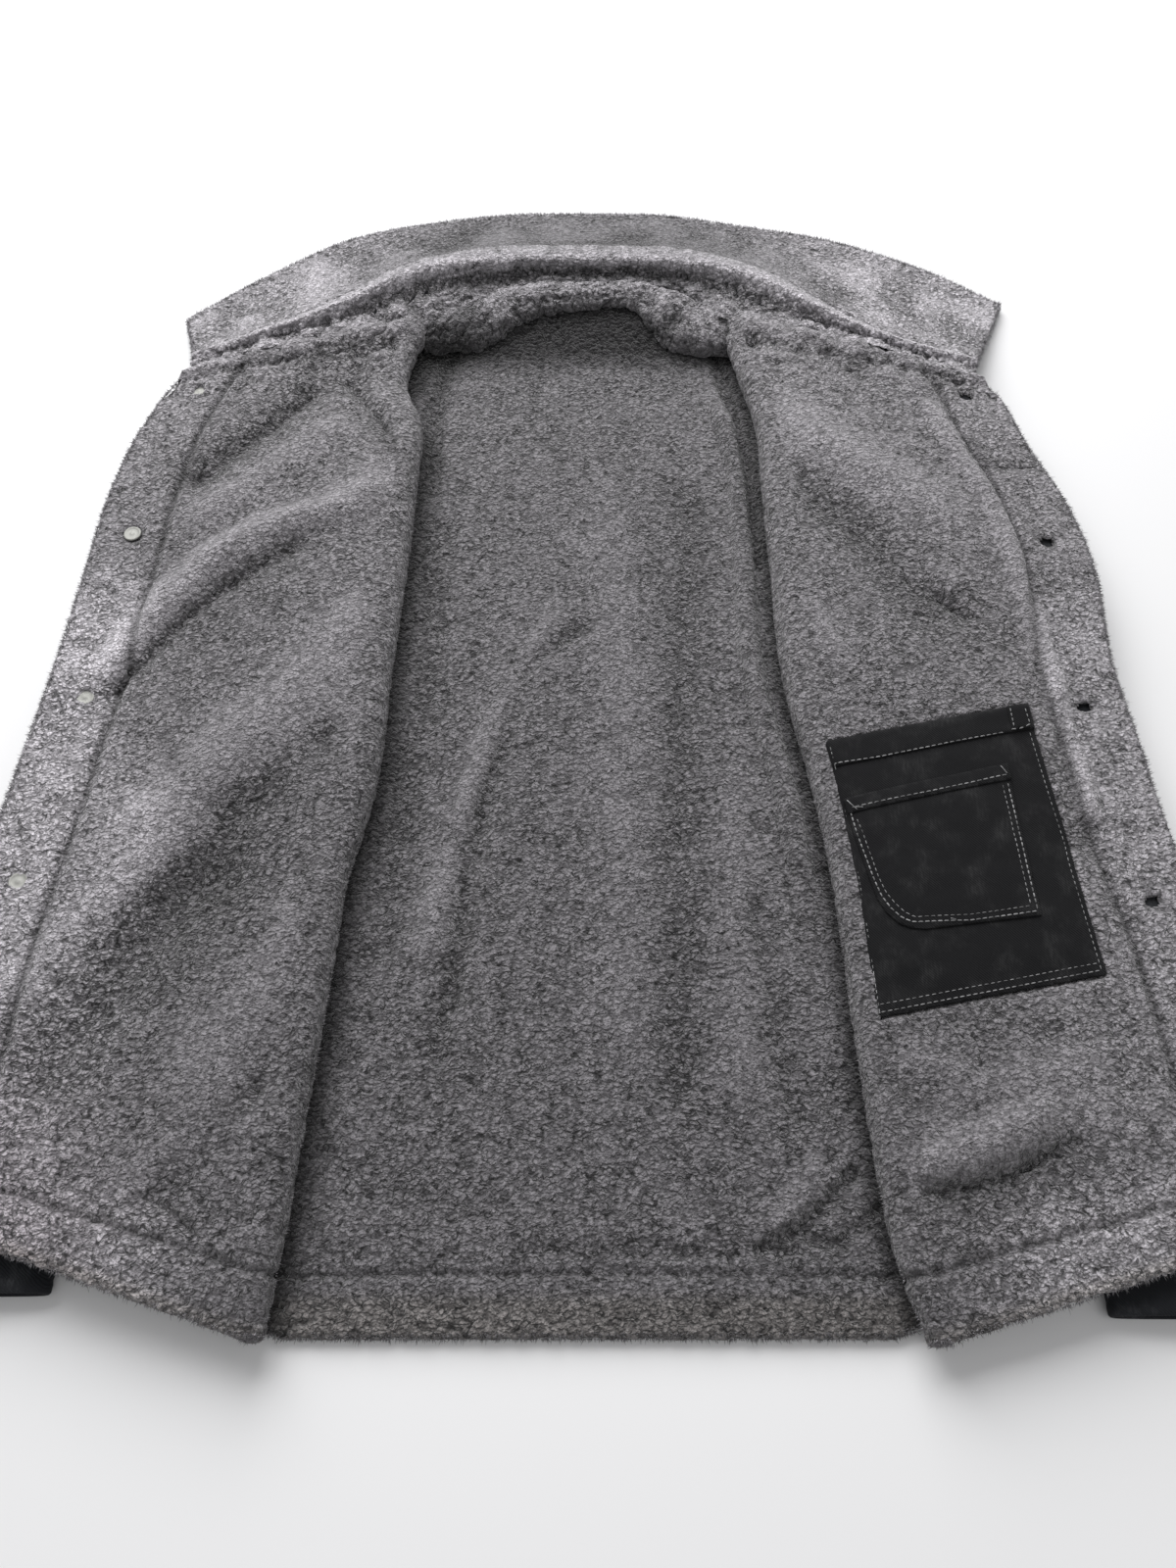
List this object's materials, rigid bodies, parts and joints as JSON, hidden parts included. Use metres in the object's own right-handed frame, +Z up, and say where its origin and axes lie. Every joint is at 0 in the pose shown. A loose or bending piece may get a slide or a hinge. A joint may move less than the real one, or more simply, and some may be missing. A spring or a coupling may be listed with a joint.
{
  "type": "sherpa lined jacket",
  "caption": "Sherpa lined denim jacket laid open on its back, fronts folded outward over the sleeves, lining up, with a spread collar and an inner pocket.",
  "frame": {"origin": "centre of the bounding box's bottom, on the surface the jacket lies on", "axes": "+Y from the hem to the collar, +Z up out of the open jacket, +X to the right seen from above with the collar away, which is the wearer's left"},
  "size_m": [0.728, 0.8134, 0.0398],
  "materials": {
    "sherpa_lining": "curled sherpa pile, matt, mid grey",
    "shell_denim": "washed twill denim, matt, near black",
    "pocket_denim": "denim with pale grey top stitching, matt",
    "tack_metal": "dull grey metal tack buttons"
  },
  "bodies": {
    "root": {"back_hem_band": "sherpa_lining", "back_lining": "sherpa_lining", "back_neck_facing": "sherpa_lining", "back_shell": "shell_denim", "button_back_1": "tack_metal", "button_back_2": "tack_metal", "button_back_3": "tack_metal", "button_back_4": "tack_metal", "button_back_5": "tack_metal", "button_cap_1": "tack_metal", "button_cap_2": "tack_metal", "button_cap_3": "tack_metal", "button_cap_4": "tack_metal", "button_cap_5": "tack_metal", "collar_leaf_lining": "sherpa_lining", "collar_leaf_shell": "shell_denim", "collar_stand_lining": "sherpa_lining", "collar_stand_shell": "shell_denim", "left_cuff": "shell_denim", "left_front_facing": "sherpa_lining", "left_front_hem_band": "sherpa_lining", "left_front_lining": "sherpa_lining", "left_front_shell": "shell_denim", "left_sleeve": "shell_denim", "pen_tab": "pocket_denim", "pocket_hem": "pocket_denim", "pocket_panel": "pocket_denim", "right_cuff": "shell_denim", "right_front_facing": "sherpa_lining", "right_front_hem_band": "sherpa_lining", "right_front_lining": "sherpa_lining", "right_front_shell": "shell_denim", "right_sleeve": "shell_denim", "small_pocket": "pocket_denim", "small_pocket_hem": "pocket_denim"}
  },
  "joints": []
}
